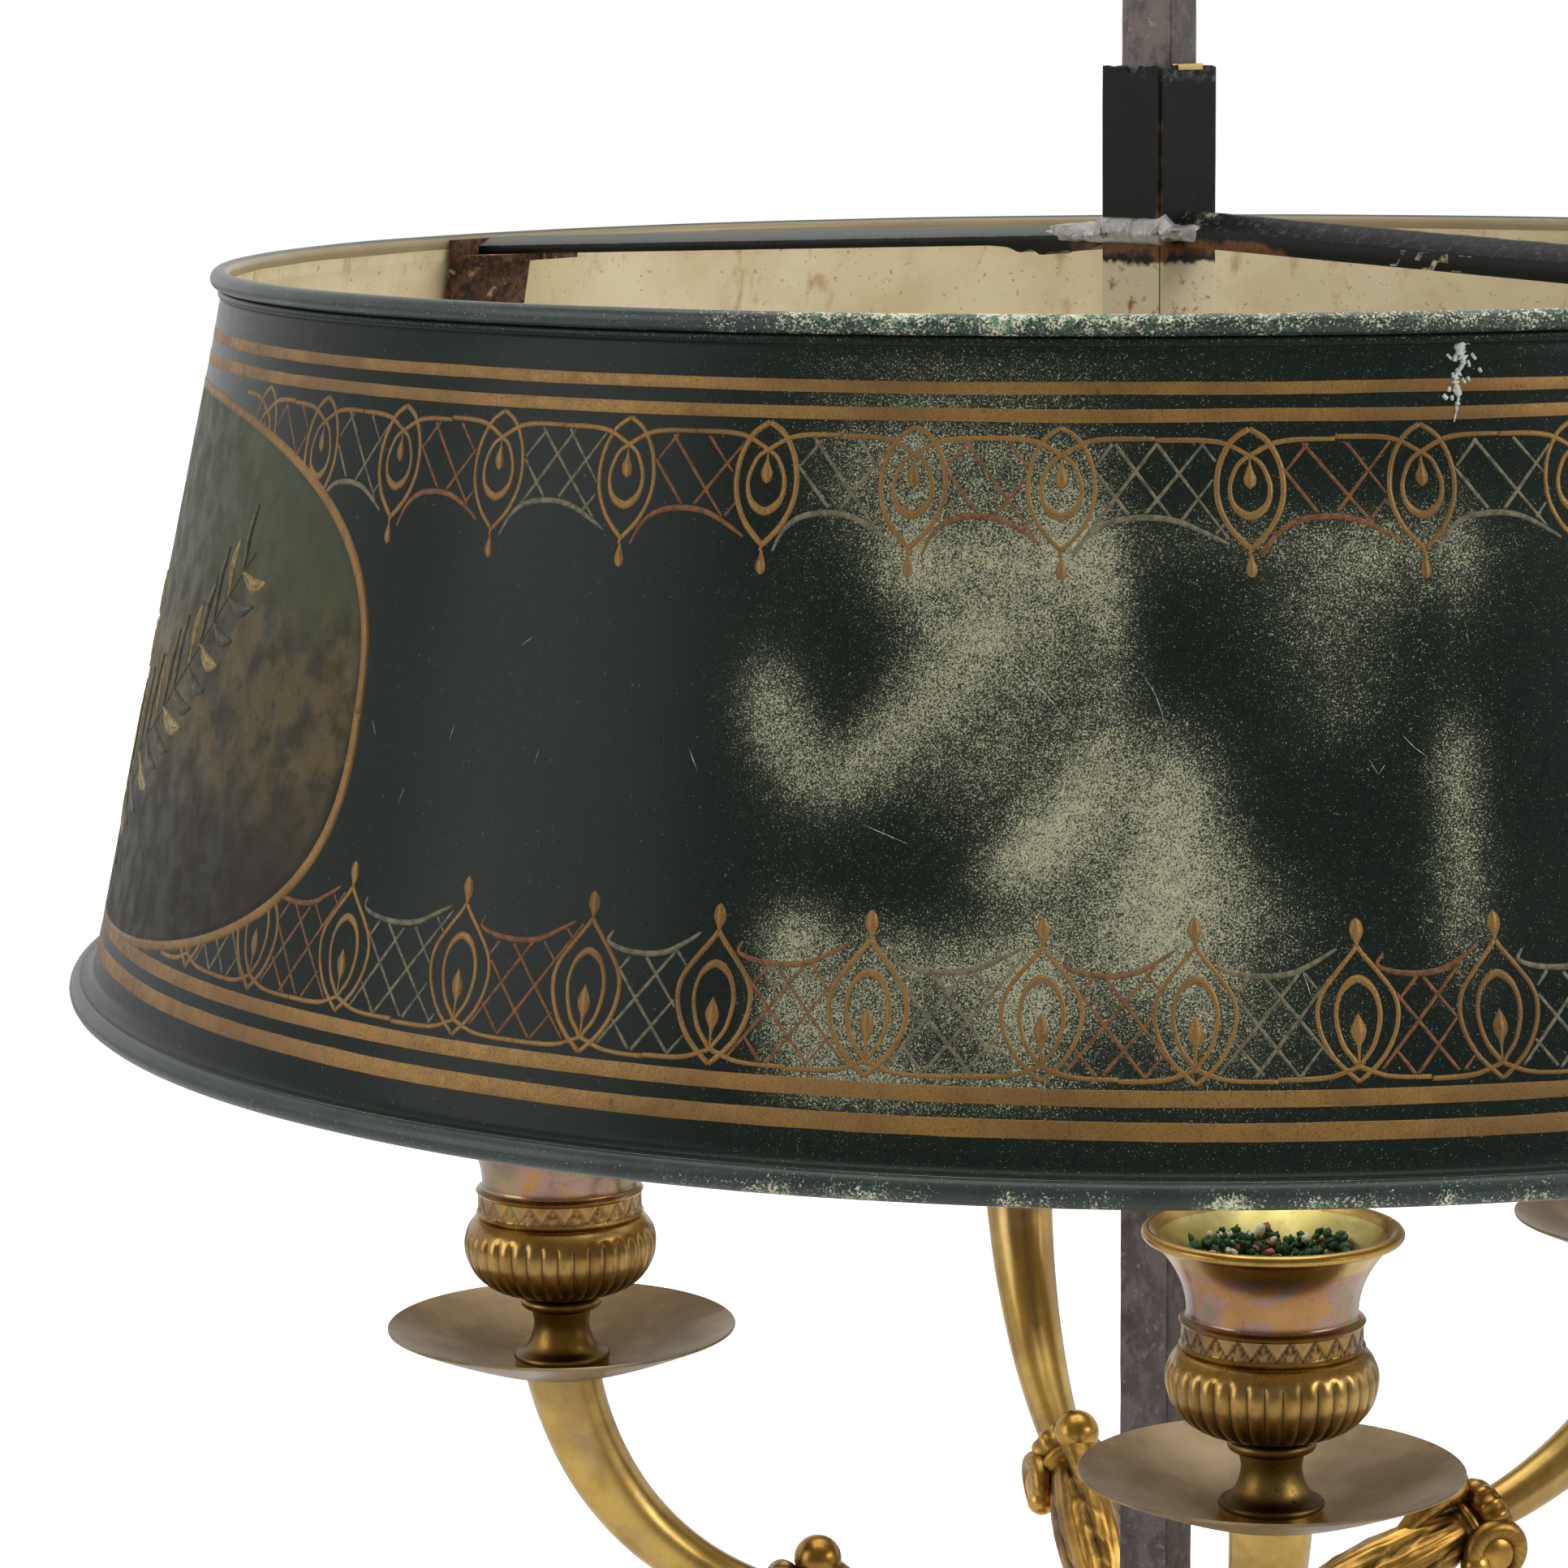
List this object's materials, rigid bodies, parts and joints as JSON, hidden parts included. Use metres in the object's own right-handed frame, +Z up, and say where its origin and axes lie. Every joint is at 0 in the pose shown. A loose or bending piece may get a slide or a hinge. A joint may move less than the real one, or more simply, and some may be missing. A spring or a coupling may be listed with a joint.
{
  "type": "bouillotte lamp",
  "caption": "Bouillotte candle lamp: dished brass foot, fluted stem, horn arms with drip pans and candle cups, and a painted sheet-metal shade that slides on a square post.",
  "frame": {"origin": "centre of the underside of the foot, on the post's axis", "axes": "+Z up along the post; the front arm points to -Y, the left arm to -X"},
  "size_m": [0.4319, 0.432, 0.738],
  "materials": {
    "brass": "aged gilt brass, satin with bright wear",
    "pan_bronze": "satin, dull and scuffed",
    "post_iron": "worn and mottled",
    "blackened_iron": "rough cast and turned",
    "wire_iron": "dull drawn wire",
    "black_lacquer": "worn japanned lacquer with gilt ornament, cream inside",
    "rusty_sheet": "rusty bare sheet iron",
    "solder": "dull grey, uneven",
    "baize": "green wool baize"
  },
  "bodies": {
    "stand": {"base_baize": "baize", "base_weight": "blackened_iron", "base_dish": "brass", "base_washer": "blackened_iron", "base_nut": "blackened_iron", "stem_socle": "brass", "stem_column": "brass", "stem_capital": "brass", "arm_hub": "brass", "hub_cap": "brass", "post": "post_iron", "sleeve_left": "brass", "sleeve_front": "brass", "sleeve_right": "brass", "sleeve_back": "brass", "arm_left": "brass", "arm_front": "brass", "arm_right": "brass", "arm_back": "brass", "drip_pan_left": "pan_bronze", "drip_pan_front": "pan_bronze", "drip_pan_right": "pan_bronze", "drip_pan_back": "pan_bronze"},
    "shade": {"shade_shell": "black_lacquer", "rim_wire_top": "wire_iron", "rim_wire_bottom": "wire_iron", "strut_near": "black_lacquer", "strut_far": "black_lacquer", "bracket_near": "rusty_sheet", "bracket_far": "rusty_sheet", "collar": "black_lacquer", "collar_solder": "solder", "spring_leaf": "brass"},
    "finial": {"finial": "brass"},
    "cup_left": {"candle_cup_left": "brass"},
    "cup_front": {"candle_cup_front": "brass"},
    "cup_right": {"candle_cup_right": "brass"},
    "cup_back": {"candle_cup_back": "brass"}
  },
  "joints": [
    {"name": "shade_slide", "type": "slide", "parent": "stand", "child": "shade", "axis": [0, 0, 1], "range_m": [-0.09, 0.08]},
    {"name": "finial_turn", "type": "hinge", "parent": "stand", "child": "finial", "pos_m": [0, 0, 0.688], "axis": [0, 0, 1], "continuous": true},
    {"name": "cup_turn_left", "type": "hinge", "parent": "stand", "child": "cup_left", "pos_m": [-0.1204, 0, 0.3218], "axis": [0, 0, 1], "continuous": true},
    {"name": "cup_turn_front", "type": "hinge", "parent": "stand", "child": "cup_front", "pos_m": [0, -0.1204, 0.3218], "axis": [0, 0, 1], "continuous": true},
    {"name": "cup_turn_right", "type": "hinge", "parent": "stand", "child": "cup_right", "pos_m": [0.11682, 0.02913, 0.3298], "axis": [0, 0, 1], "continuous": true},
    {"name": "cup_turn_back", "type": "hinge", "parent": "stand", "child": "cup_back", "pos_m": [-0.01049, 0.11994, 0.3298], "axis": [0, 0, 1], "continuous": true}
  ]
}
